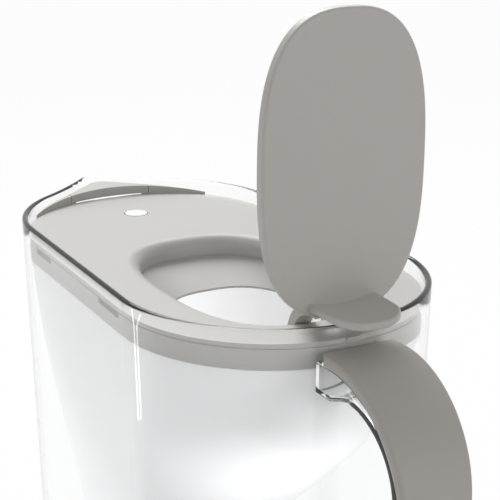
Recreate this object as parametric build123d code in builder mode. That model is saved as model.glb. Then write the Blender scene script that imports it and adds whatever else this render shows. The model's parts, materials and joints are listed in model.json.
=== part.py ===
# A water filter pitcher with a flip lid: a clear tapered jug with a spout and a strap handle, a
# funnel-shaped hopper with a filter cartridge hanging in it, and a two-shell lid that carries a
# fill flap on gooseneck arms, a pouring flap over the spout and a small light module.
#
# Frame: +Z up, the jug stands on z = 0, the spout points to -X, the handle to +X, and the pitcher
# is symmetric about y = 0. Heights named *_drop are measured down from the planar rim. Places named
# *_from_front and *_from_rear are measured along the body from its front and rear ends, and grow
# towards its middle.
import os
from math import cos, hypot, pi, radians, sin, sqrt, tan

from build123d import *

os.makedirs("parts", exist_ok=True)

# ---- Driving dimensions (mm) ---------------------------------------------------------------
# Jug
rim_height = 255.0
body_length = 198.2
rear_radius = 55.0
front_radius = 52.0
wall_draft = 1.35
jug_wall = 2.3
jug_floor = 4.0
base_edge_radius = 9.0
floor_edge_radius = 6.0
rim_edge_radius = 1.0
spout_reach = 13.2
spout_nose_radius = 9.3
spout_flare_radius = 160.0
spout_depth = 52.0

# Clearances
seat_gap = 0.3
flap_gap = 0.35
mouth_gap = 0.45
pin_gap = 0.05
grip_gap = 0.15
shell_gap = 0.1

# Handle
grip_thickness = 3.4
handle_top_drop = 7.7
handle_reach_behind = 42.9
handle_bulge_behind = 48.1
handle_bulge_drop = 105.0
handle_foot_from_rear = 15.1
handle_foot_drop = 206.0
handle_corner_radius = 38.6
finger_corner_radius = 24.0
finger_foot_drop = 192.0
handle_lower_radius = 125.0
handle_root_thickness = 11.1
handle_root_lift = 4.6
handle_root_start = 2.0
handle_root_end = 10.0
handle_root_radius = 8.0
handle_side_thickness = 6.6
handle_root_half_width = 14.2
handle_waist_half_width = 12.3
handle_foot_half_width = 11.2
handle_rail = 2.0
handle_web = 1.4
channel_end_wall = 2.5
grip_edge_radius = 1.4
grip_rib = 1.2

# Hopper and its cartridge socket
hopper_wall = 2.0
hopper_flange_drop = 14.3
hopper_flange_thickness = 1.7
hopper_inset = 4.6
# Funnel rings below the mouth: share of the depth, then how far the front and rear arcs have moved
# inwards and shrunk.
hopper_rings = ((0.32, 0.8, 3.4, 9.4, 3.8), (0.635, 4.8, 8.7, 35.8, 11.8))
throat_spread = 1.5
throat_margin = 2.5
pour_channel_from_front = 9.3
pour_channel_half_width = 16.0
cartridge_behind_front_arc = 14.1
hopper_bottom_drop = 127.5
socket_bore_radius = 29.1
socket_wall = 2.0
socket_length = 64.0
rest_nub_width = 5.0
rest_nub_height = 3.0
rear_nub_angle = 20.5
front_nub_angle = 50.0

# Cartridge
cartridge_radius = 28.4
cartridge_wall = 1.6
cartridge_height = 59.0
cartridge_taper = 1.2
cartridge_flange_radius = 31.0
cartridge_flange_thickness = 1.8
cap_height = 15.0
cap_top_radius = 17.0
cap_slot_count = 16
cap_slot_width = 1.6
outlet_slot_count = 12
outlet_slot_width = 1.8
outlet_slot_depth = 6.4
pull_ring_radius = 9.0
pull_ring_wire = 1.5
seal_groove_radius = 1.1
seal_section_radius = 0.65
seal_drop = 4.0
seal_inset = 0.25
screen_thickness = 0.6

# Lid shells
lid_inset = 3.0
lid_skirt = 2.2
lid_plate = 2.4
lid_top_drop = 5.4
lid_parting_drop = 9.2
lid_base_drop = 14.0
web_thickness = 1.4
groove_drop = 7.2
groove_width = 0.4
groove_depth = 0.3
vent_height = 1.9
front_vent_from_front = 62.4
front_vent_length = 15.2
rear_vent_from_rear = 71.2
rear_vent_length = 17.7
ridge_center_from_front = 58.9
ridge_radius = 53.6
ridge_top_drop = 1.4
ridge_crown_radius = 251.0
ridge_end_from_front = 41.1

# Fill flap, its well and its hinge
flap_center_from_rear = 72.2
flap_half_length = 48.3
flap_half_width = 29.4
flap_power = 2.69
flap_thickness = 4.25
flap_skin = 1.8
flap_wall = 2.0
flap_edge_radius = 1.0
flap_open_angle = 90.6
hinge_from_rear = 12.5
hinge_drop = 11.85
flap_top_above_hinge = 3.45
well_edge_radius = 5.0
well_rim_width = 8.0
funnel_step = 0.35
hole_center_from_rear = 67.0
hole_half_length = 34.4
hole_half_width = 24.3
hole_drop = 19.4
hole_lip = 0.8
funnel_wall = 1.8
arm_radius = 13.2
arm_thickness = 3.4
arm_inner_y = 3.2
arm_outer_y = 9.6
hub_radius = 3.0
hinge_pin_radius = 1.6
hinge_pin_length = 3.8
ear_thickness = 3.6
ear_wall = 2.0
ear_gap = 0.4
arm_slot_gap = 0.7

# Thumb tab of the fill flap
tab_half_width = 12.6
tab_tip_half_width = 11.6
tab_reach = 24.0
tab_height = 15.9
tab_thickness = 2.5
tab_scoop_radius = 52.6
tab_corner_radius = 9.0
tab_edge_radius = 0.8

# Pouring flap
pour_flap_overhang = 6.4
pour_flap_nose_radius = 6.5
pour_flap_flare_radius = 120.0
pour_flap_half_width = 17.5
pour_flap_thickness = 2.2
pour_hinge_from_front = 6.2
pour_hinge_drop = 5.0
pour_pin_radius = 0.75
pour_pin_length = 1.3
pour_lug_radius = 1.1

# Light module
light_from_front = 34.0
button_radius = 4.6
button_flange_radius = 6.2
button_flange_thickness = 1.0
button_proud = 0.2
button_travel = 0.8
housing_radius = 14.5
housing_wall = 1.5
housing_depth = 10.8
housing_top = 1.2
board_radius = 12.6
board_thickness = 1.0
board_below_plate = 4.4
dome_radius = 3.6
dome_wall = 0.6
led_radius = 1.4
led_height = 1.1
cell_radius = 10.0
cell_thickness = 3.2
cell_edge_radius = 0.8
contact_thickness = 0.3
coin_slot_width = 2.2
coin_slot_length = 14.0

# ---- Derived places -------------------------------------------------------------------------
half_length = body_length / 2
front_x = front_radius - half_length
rear_x = half_length - rear_radius
draft = tan(radians(wall_draft))
handle_reach = half_length + handle_reach_behind
handle_bulge = half_length + handle_bulge_behind
handle_foot_x = half_length - handle_foot_from_rear
pour_channel_x = pour_channel_from_front - half_length
cartridge_x = front_x + cartridge_behind_front_arc
front_vent_x = front_vent_from_front - half_length
rear_vent_x = half_length - rear_vent_from_rear
ridge_center_x = ridge_center_from_front - half_length
ridge_end_x = ridge_end_from_front - half_length
flap_center_x = half_length - flap_center_from_rear
hinge_x = half_length - hinge_from_rear
hole_center_x = half_length - hole_center_from_rear
pour_flap_tip_x = -half_length - pour_flap_overhang
pour_hinge_x = pour_hinge_from_front - half_length
light_x = light_from_front - half_length


def drop(depth):
    return rim_height - depth


def drafted(level):
    return (rim_height - level) * draft


spout_tip_x = -half_length - spout_reach
spout_level = drop(spout_depth)
lid_top = drop(lid_top_drop)
lid_parting = drop(lid_parting_drop)
lid_bottom = drop(lid_base_drop)
plate_bottom = lid_top - lid_plate
web_top = lid_bottom + web_thickness
flange_top = drop(hopper_flange_drop)
flange_bottom = flange_top - hopper_flange_thickness
hinge_level = drop(hinge_drop)
funnel_top = web_top - funnel_step
hopper_floor_bottom = drop(hopper_bottom_drop)
hopper_floor = hopper_floor_bottom + hopper_wall


# ---- Outlines --------------------------------------------------------------------------------
def arc_about(center, start, end):
    # An arc of less than half a turn about a known centre.
    radius = hypot(start[0] - center[0], start[1] - center[1])
    mid_x = (start[0] + end[0]) / 2 - center[0]
    mid_y = (start[1] + end[1]) / 2 - center[1]
    scale = radius / hypot(mid_x, mid_y)
    return ThreePointArc(start, (center[0] + mid_x * scale, center[1] + mid_y * scale), end)


def mirrored(point):
    return (point[0], -point[1])


def flank_ends(front_center, front_r, rear_center, rear_r):
    # The flanks are the common tangents of the two end circles. The x part of their normal is the
    # difference of the radii over the distance of the centres.
    normal_x = (front_r - rear_r) / (rear_center - front_center)
    normal_y = sqrt(1 - normal_x**2)
    front_end = (front_center + front_r * normal_x, front_r * normal_y)
    rear_end = (rear_center + rear_r * normal_x, rear_r * normal_y)
    return front_end, rear_end


def hull(front_center, front_r, rear_center, rear_r, mode=Mode.ADD):
    # Two end circles and their common tangents.
    front_end, rear_end = flank_ends(front_center, front_r, rear_center, rear_r)
    with BuildLine() as outline:
        ThreePointArc(mirrored(rear_end), (rear_center + rear_r, 0), rear_end)
        Line(rear_end, front_end)
        ThreePointArc(front_end, (front_center - front_r, 0), mirrored(front_end))
        Line(mirrored(front_end), mirrored(rear_end))
    make_face(outline.edges(), mode=mode)


def oval(inset, mode=Mode.ADD):
    # The body's plan without the spout, drawn in from the rim's outer edge by inset.
    hull(front_x, front_radius - inset, rear_x, rear_radius - inset, mode)


def plan_ends(inset):
    return flank_ends(front_x, front_radius - inset, rear_x, rear_radius - inset)


def nose_joints(inset, tip_x, nose_radius, flare_radius):
    # A concave flare of flare_radius touches the front circle and the nose circle from outside.
    # Its centre is where circles of the summed radii about their centres cross.
    front_r = front_radius - inset
    nose_x = tip_x + nose_radius
    span = front_x - nose_x
    to_front = front_r + flare_radius
    to_nose = nose_radius + flare_radius
    along = (to_front**2 - to_nose**2 + span**2) / (2 * span)
    flare_y = sqrt(to_front**2 - along**2)
    flare_x = front_x - along
    front_joint = (front_x - front_r / to_front * along, front_r / to_front * flare_y)
    nose_joint = (nose_x + nose_radius / to_nose * (flare_x - nose_x), nose_radius / to_nose * flare_y)
    return (flare_x, flare_y), front_joint, nose_joint


def spouted_oval(inset, tip_x, nose_radius, flare_radius, mode=Mode.ADD):
    # The same plan with a nose drawn out at the front: front arc, flare, nose, flare, front arc.
    front_end, rear_end = plan_ends(inset)
    flare, front_joint, nose_joint = nose_joints(inset, tip_x, nose_radius, flare_radius)
    with BuildLine() as outline:
        ThreePointArc(mirrored(rear_end), (half_length - inset, 0), rear_end)
        Line(rear_end, front_end)
        arc_about((front_x, 0), front_end, front_joint)
        arc_about(flare, front_joint, nose_joint)
        ThreePointArc(nose_joint, (tip_x, 0), mirrored(nose_joint))
        arc_about(mirrored(flare), mirrored(nose_joint), mirrored(front_joint))
        arc_about((front_x, 0), mirrored(front_joint), mirrored(front_end))
        Line(mirrored(front_end), mirrored(rear_end))
    make_face(outline.edges(), mode=mode)


def split_oval(inset):
    # The plain plan with its front arc cut where the rim's flare and nose begin, so that it joins
    # the spouted plan edge by edge.
    front_end, rear_end = plan_ends(inset)
    flare, front_joint, nose_joint = nose_joints(0, spout_tip_x, spout_nose_radius, spout_flare_radius)
    front_r = front_radius - inset
    share = front_r / front_radius
    outer_y = front_joint[1] * share
    inner_y = nose_joint[1] * share
    outer_split = (front_x - sqrt(front_r**2 - outer_y**2), outer_y)
    inner_split = (front_x - sqrt(front_r**2 - inner_y**2), inner_y)
    with BuildLine() as outline:
        ThreePointArc(mirrored(rear_end), (half_length - inset, 0), rear_end)
        Line(rear_end, front_end)
        arc_about((front_x, 0), front_end, outer_split)
        arc_about((front_x, 0), outer_split, inner_split)
        arc_about((front_x, 0), inner_split, mirrored(inner_split))
        arc_about((front_x, 0), mirrored(inner_split), mirrored(outer_split))
        arc_about((front_x, 0), mirrored(outer_split), mirrored(front_end))
        Line(mirrored(front_end), mirrored(rear_end))
    make_face(outline.edges())


def jug_plan(level, inset):
    # The jug's plan at one height: the walls draw in with the draft, and the nose keeps its centre.
    total = inset + drafted(level)
    if level > spout_level:
        spouted_oval(
            total, spout_tip_x + total, spout_nose_radius - total, spout_flare_radius + total
        )
    else:
        split_oval(total)


def superellipse(center_x, half_x, half_y, mode=Mode.ADD):
    # |x / a|^n + |y / b|^n = 1, as one closed smooth curve.
    points = []
    for step in range(32):
        turn = 2 * pi * step / 32
        scale = (abs(cos(turn))**flap_power + abs(sin(turn))**flap_power)**(-1 / flap_power)
        points.append((center_x + half_x * scale * cos(turn), half_y * scale * sin(turn)))
    with BuildLine() as outline:
        Spline(*points, periodic=True)
    make_face(outline.edges(), mode=mode)


def flap_outline(growth, mode=Mode.ADD):
    superellipse(flap_center_x, flap_half_length + growth, flap_half_width + growth, mode)


def hole_outline(growth):
    superellipse(hole_center_x, hole_half_length + growth, hole_half_width + growth)


# ---- Handle outlines in the side view --------------------------------------------------------
def handle_area(inset, mode=Mode.ADD):
    # Everything behind the grip's outer line, drawn in by inset.
    top = drop(handle_top_drop)
    foot = drop(handle_foot_drop)
    with BuildLine() as outline:
        FilletPolyline(
            (handle_foot_x, top),
            (handle_reach, top),
            (handle_bulge, drop(handle_bulge_drop)),
            (handle_foot_x, foot),
            radius=(handle_corner_radius, handle_lower_radius),
        )
        Line((handle_foot_x, foot), (handle_foot_x, top))
    make_face(outline.wire().offset_2d(-inset, kind=Kind.INTERSECTION).edges(), mode=mode)


def finger_area(growth, mode=Mode.ADD):
    # The gap behind the handle, grown outwards for the floor of the handle's channel. Its top edge
    # rises towards the body, so that the channel's root is rounded off.
    top = drop(handle_top_drop + handle_root_thickness)
    foot = drop(finger_foot_drop)
    root = top + handle_root_lift
    with BuildLine() as outline:
        FilletPolyline(
            (handle_foot_x, root),
            (half_length + handle_root_start, root),
            (half_length + handle_root_end, top),
            (handle_reach - handle_side_thickness, top),
            (handle_bulge - handle_side_thickness, drop(handle_bulge_drop)),
            (handle_foot_x, foot),
            radius=(
                handle_root_radius,
                handle_root_radius,
                finger_corner_radius,
                handle_lower_radius,
            ),
        )
        Line((handle_foot_x, foot), (handle_foot_x, root))
    make_face(outline.wire().offset_2d(growth, kind=Kind.INTERSECTION).edges(), mode=mode)


def handle_front_view(inset):
    # The strap narrows smoothly from its root to its waist and on to its foot.
    root = (handle_root_half_width - inset, drop(handle_top_drop) + jug_floor)
    waist = (handle_waist_half_width - inset, drop(handle_top_drop + handle_corner_radius))
    foot = (handle_foot_half_width - inset, drop(handle_foot_drop) - jug_floor)
    with BuildLine() as outline:
        Spline(root, waist, foot)
        Line(foot, (-foot[0], foot[1]))
        Spline((-foot[0], foot[1]), (-waist[0], waist[1]), (-root[0], root[1]))
        Line((-root[0], root[1]), root)
    make_face(outline.edges())


# ---- Handle channel: the band between the grip and the fingers ---------------------------------
with BuildPart() as handle_channel:
    with BuildSketch(Plane.XZ):
        handle_area(grip_thickness)
        finger_area(0, mode=Mode.SUBTRACT)
    extrude(amount=handle_root_half_width, both=True)
    with BuildSketch(Plane.YZ):
        handle_front_view(0)
    extrude(amount=handle_bulge + jug_wall, mode=Mode.INTERSECT)

with BuildPart() as channel_hollow:
    with BuildSketch(Plane.XZ):
        handle_area(grip_thickness)
        finger_area(handle_web, mode=Mode.SUBTRACT)
        with Locations((handle_foot_x, drop(handle_foot_drop))):
            Rectangle(
                2 * (half_length + channel_end_wall - handle_foot_x),
                2 * handle_foot_drop,
                mode=Mode.SUBTRACT,
            )
    extrude(amount=handle_root_half_width, both=True)
    with BuildSketch(Plane.YZ):
        handle_front_view(handle_rail)
    extrude(amount=handle_bulge + jug_wall, mode=Mode.INTERSECT)

# ---- Jug: one clear moulding with its spout, handle channel and hopper rests -------------------
def jug_space(inset, floor_level):
    # The jug's plan lofted in straight lines from floor_level over the spout's foot to the rim.
    with BuildPart() as space:
        for level in (floor_level, spout_level, rim_height):
            with BuildSketch(Plane.XY.offset(level)):
                jug_plan(level, inset)
        loft(ruled=True)
    return space


with BuildPart() as rest_nubs:
    with BuildSketch(Plane.XY.offset(flange_bottom - seat_gap - rest_nub_height)):
        oval(jug_wall / 2)
        oval(hopper_inset - flap_gap, mode=Mode.SUBTRACT)
    extrude(amount=rest_nub_height)
    with BuildSketch(Plane.XY.offset(flange_bottom - seat_gap)):
        for center, angle in (
            (rear_x, rear_nub_angle),
            (rear_x, -rear_nub_angle),
            (front_x, 180 - front_nub_angle),
            (front_x, 180 + front_nub_angle),
        ):
            with Locations(Location((center, 0, 0), (0, 0, angle))):
                Rectangle(rear_radius, rest_nub_width, align=(Align.MIN, Align.CENTER))
        Rectangle(rest_nub_width, 2 * rear_radius)
    extrude(amount=-rest_nub_height, mode=Mode.INTERSECT)

jug_outside = jug_space(0, 0)
jug_inside = jug_space(jug_wall, jug_floor)

with BuildPart() as jug_body:
    add(jug_outside.part)
    fillet(jug_body.edges().group_by(Axis.Z)[0], radius=base_edge_radius)
    add(handle_channel.part)
    add(channel_hollow.part, mode=Mode.SUBTRACT)
    add(jug_inside.part, mode=Mode.SUBTRACT)
    floor_edges = jug_body.edges().filter_by(
        lambda edge: abs(edge.center().Z - jug_floor) < jug_wall / 10
    )
    fillet(floor_edges, radius=floor_edge_radius)
    fillet(jug_body.edges().group_by(Axis.Z)[-1], radius=rim_edge_radius)
    add(rest_nubs.part)
jug_body.part.label = "jug_body"
export_step(jug_body.part, "parts/jug_body.step")

# ---- Grip: the soft strap that closes the handle's channel -------------------------------------
with BuildPart() as grip_strap:
    with BuildSketch(Plane.XZ):
        handle_area(0)
    extrude(amount=handle_root_half_width + jug_wall, both=True)
    with BuildSketch(Plane.YZ):
        handle_front_view(0)
    extrude(amount=handle_bulge + jug_wall, mode=Mode.INTERSECT)
    long_edges = grip_strap.edges().filter_by(
        lambda edge: edge.center().X > half_length and abs(edge.center().Y) > handle_foot_half_width / 2
    )
    fillet(long_edges, radius=grip_edge_radius)
    with BuildSketch(Plane.XZ):
        handle_area(grip_thickness)
    extrude(amount=handle_root_half_width + jug_wall, both=True, mode=Mode.SUBTRACT)
    add(jug_space(-grip_gap, 0).part, mode=Mode.SUBTRACT)

with BuildPart() as grip_tongue:
    with BuildSketch(Plane.XZ):
        handle_area(grip_thickness)
        handle_area(grip_thickness + grip_rib, mode=Mode.SUBTRACT)
        with Locations((handle_foot_x, drop(handle_foot_drop))):
            Rectangle(
                2 * (half_length + channel_end_wall + seat_gap - handle_foot_x),
                2 * handle_foot_drop,
                mode=Mode.SUBTRACT,
            )
    extrude(amount=handle_root_half_width, both=True)
    with BuildSketch(Plane.YZ):
        handle_front_view(handle_rail + grip_gap)
    extrude(amount=handle_bulge + jug_wall, mode=Mode.INTERSECT)
with BuildPart() as handle_grip:
    add(grip_strap.part)
    add(grip_tongue.part)
handle_grip.part.label = "handle_grip"
export_step(handle_grip.part, "parts/handle_grip.step")

# ---- Hopper: a smooth funnel from the rim's plan to the cartridge's round socket ----------------
def hopper_space(inset, top_level, bottom_level):
    # Each ring: share of the depth, then the front circle's and the rear circle's centre and radius.
    mouth_front = front_radius - hopper_inset
    mouth_rear = rear_radius - hopper_inset
    throat_radius = cartridge_flange_radius + throat_margin
    rings = [(0.0, front_x, mouth_front, rear_x, mouth_rear)]
    for share, front_shift, front_shrink, rear_shift, rear_shrink in hopper_rings:
        front_ring = (front_x + front_shift, mouth_front - front_shrink)
        rear_ring = (rear_x - rear_shift, mouth_rear - rear_shrink)
        rings.append((share, *front_ring, *rear_ring))
    throat_front = (cartridge_x - throat_spread, throat_radius)
    throat_rear = (cartridge_x + throat_spread, throat_radius)
    rings.append((1.0, *throat_front, *throat_rear))
    with BuildPart() as space:
        for share, front_center, front_r, rear_center, rear_r in rings:
            level = top_level - share * (top_level - bottom_level)
            with BuildSketch(Plane.XY.offset(level)):
                hull(front_center, front_r - inset, rear_center, rear_r - inset)
        loft()
    return space


def behind_channel(wall_x):
    # Everything behind the flat wall that leaves the pouring channel free.
    with Locations((wall_x, 0)):
        Rectangle(body_length + half_length, body_length, align=(Align.MIN, Align.CENTER))


with BuildPart() as hopper_inside:
    add(hopper_space(hopper_wall, flange_top, hopper_floor).part)
    with BuildSketch(Plane.XY.offset(hopper_floor)):
        behind_channel(pour_channel_x + hopper_wall)
    extrude(amount=flange_top - hopper_floor, mode=Mode.INTERSECT)

with BuildPart() as hopper:
    add(hopper_space(0, flange_top, hopper_floor_bottom).part)
    with BuildSketch(Plane.XY.offset(hopper_floor_bottom)):
        behind_channel(pour_channel_x)
    extrude(amount=flange_top - hopper_floor_bottom, mode=Mode.INTERSECT)
    with BuildSketch(Plane.XY.offset(flange_bottom)):
        oval(lid_inset)
        with Locations((pour_channel_x, 0)):
            Rectangle(
                half_length,
                2 * pour_channel_half_width,
                align=(Align.MAX, Align.CENTER),
                mode=Mode.SUBTRACT,
            )
    extrude(amount=hopper_flange_thickness)
    with BuildSketch(Plane.XY.offset(hopper_floor_bottom - socket_length)):
        with Locations((cartridge_x, 0)):
            Circle(socket_bore_radius + socket_wall)
    extrude(amount=socket_length + hopper_wall)
    add(hopper_inside.part, mode=Mode.SUBTRACT)
    with BuildSketch(Plane.XY.offset(hopper_floor)):
        with Locations((cartridge_x, 0)):
            Circle(socket_bore_radius)
    extrude(amount=-(socket_length + hopper_wall), mode=Mode.SUBTRACT)
hopper.part.label = "hopper"
export_step(hopper.part, "parts/hopper.step")


# ---- Cartridge ---------------------------------------------------------------------------------
def turned(profile):
    # A closed profile of (radius, height) points revolved about the cartridge's axis.
    with BuildPart() as body:
        with BuildSketch(Plane.XZ):
            with Locations((cartridge_x, 0)):
                Polygon(*profile, align=None)
        revolve(axis=Axis((cartridge_x, 0, 0), (0, 0, 1)))
    return body


cup_top = hopper_floor + seat_gap
cup_bottom = cup_top - cartridge_height
cup_inner = cartridge_radius - cartridge_wall
cap_bottom = cup_top + cartridge_flange_thickness
cap_top = cap_bottom + cap_height

with BuildPart() as cartridge_cup:
    add(
        turned(
            (
                (0, cup_bottom),
                (cartridge_radius - cartridge_taper, cup_bottom),
                (cartridge_radius, cup_top),
                (cartridge_flange_radius, cup_top),
                (cartridge_flange_radius, cap_bottom),
                (cup_inner, cap_bottom),
                (cup_inner - cartridge_taper, cup_bottom + cartridge_wall),
                (0, cup_bottom + cartridge_wall),
            )
        ).part
    )
    # Outlet slots in rows round the foot, and the groove of the seal under the flange.
    with Locations(Location((cartridge_x, 0, cup_bottom))):
        with PolarLocations(cup_inner / 2, outlet_slot_count):
            Box(cup_inner / 2, outlet_slot_width, outlet_slot_depth, mode=Mode.SUBTRACT)
    with Locations(Location((cartridge_x, 0, cup_top - seal_drop))):
        Torus(cartridge_radius, seal_groove_radius, mode=Mode.SUBTRACT)
cartridge_cup.part.label = "cartridge_cup"
export_step(cartridge_cup.part, "parts/cartridge_cup.step")

with BuildPart() as cartridge_seal:
    with Locations(Location((cartridge_x, 0, cup_top - seal_drop))):
        Torus(cartridge_radius - seal_inset, seal_section_radius)
cartridge_seal.part.label = "cartridge_seal"
export_step(cartridge_seal.part, "parts/cartridge_seal.step")

with BuildPart() as cartridge_cap:
    add(
        turned(
            (
                (0, cap_top - cartridge_wall),
                (cap_top_radius - cartridge_wall, cap_top - cartridge_wall),
                (cup_inner - cartridge_wall, cap_bottom),
                (cartridge_flange_radius, cap_bottom),
                (cartridge_flange_radius, cap_bottom + cartridge_wall),
                (cup_inner, cap_bottom + cartridge_wall),
                (cap_top_radius, cap_top),
                (0, cap_top),
            )
        ).part
    )
    # Inlet slots through the sloping shoulder.
    with Locations(Location((cartridge_x, 0, (cap_bottom + cap_top) / 2 + cartridge_wall))):
        with PolarLocations((cap_top_radius + cup_inner) / 2, cap_slot_count):
            Box(2 * cap_height, cap_slot_width, cap_height / 3, mode=Mode.SUBTRACT)
    # The ring to pull the cartridge out by stands on the cap.
    with Locations(Location((cartridge_x, 0, cap_top + pull_ring_radius), (90, 0, 0))):
        Torus(pull_ring_radius, pull_ring_wire)
    with BuildSketch(Plane.XY.offset(cap_bottom)):
        with Locations((cartridge_x, 0)):
            Circle(cap_top_radius - cartridge_wall)
    extrude(amount=cap_height - cartridge_wall, mode=Mode.SUBTRACT)
cartridge_cap.part.label = "cartridge_cap"
export_step(cartridge_cap.part, "parts/cartridge_cap.step")


def disc(center_x, radius, bottom, top):
    with BuildPart() as body:
        with BuildSketch(Plane.XY.offset(bottom)):
            with Locations((center_x, 0)):
                Circle(radius)
        extrude(amount=top - bottom)
    return body


screen_radius = cup_inner - cartridge_taper - seat_gap
granule_bottom = cup_bottom + cartridge_wall + screen_thickness
granule_top = cup_top - screen_thickness
with BuildPart() as bottom_screen:
    add(disc(cartridge_x, screen_radius, cup_bottom + cartridge_wall, granule_bottom).part)
bottom_screen.part.label = "bottom_screen"
export_step(bottom_screen.part, "parts/bottom_screen.step")

with BuildPart() as top_screen:
    add(disc(cartridge_x, screen_radius, granule_top, cup_top).part)
top_screen.part.label = "top_screen"
export_step(top_screen.part, "parts/top_screen.step")

with BuildPart() as filter_granules:
    add(disc(cartridge_x, screen_radius, granule_bottom, granule_top).part)
filter_granules.part.label = "filter_granules"
export_step(filter_granules.part, "parts/filter_granules.step")


# ---- Lid -----------------------------------------------------------------------------------------
def lid_plan(inset, mode=Mode.ADD):
    # The lid follows the rim and runs out into the spout as a rounded tongue.
    spouted_oval(
        lid_inset + inset,
        pour_flap_tip_x + inset,
        pour_flap_nose_radius - inset,
        pour_flap_flare_radius + inset,
        mode,
    )


def ridge_step(inset, mode=Mode.ADD):
    # The plateau ends at the front in an arc that the ridge and the pouring flap stand behind.
    with Locations((ridge_center_x, 0)):
        Circle(ridge_radius - inset, mode=mode)


with BuildPart() as front_ridge:
    with BuildSketch(Plane.XY.offset(lid_parting)):
        lid_plan(0)
        ridge_step(0, mode=Mode.SUBTRACT)
        with Locations((ridge_end_x, 0)):
            Rectangle(
                body_length + half_length,
                body_length,
                align=(Align.MIN, Align.CENTER),
                mode=Mode.SUBTRACT,
            )
    extrude(amount=lid_parting_drop - ridge_top_drop)
    with BuildSketch(Plane.YZ.offset(-body_length)):
        with Locations((0, drop(ridge_top_drop) - ridge_crown_radius)):
            Circle(ridge_crown_radius)
    extrude(amount=2 * body_length, mode=Mode.INTERSECT)

mouth_half_width = pour_flap_half_width + seat_gap


def mouth(half_width, mode):
    with Locations((ridge_center_x, 0)):
        Rectangle(body_length, 2 * half_width, align=(Align.MAX, Align.CENTER), mode=mode)


with BuildPart() as well_ring:
    with BuildSketch(Plane.XY.offset(web_top + shell_gap)):
        flap_outline(well_rim_width)
    extrude(amount=plate_bottom - web_top)
    fillet(well_ring.edges().group_by(Axis.Z)[0], radius=well_edge_radius - funnel_step)

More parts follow.
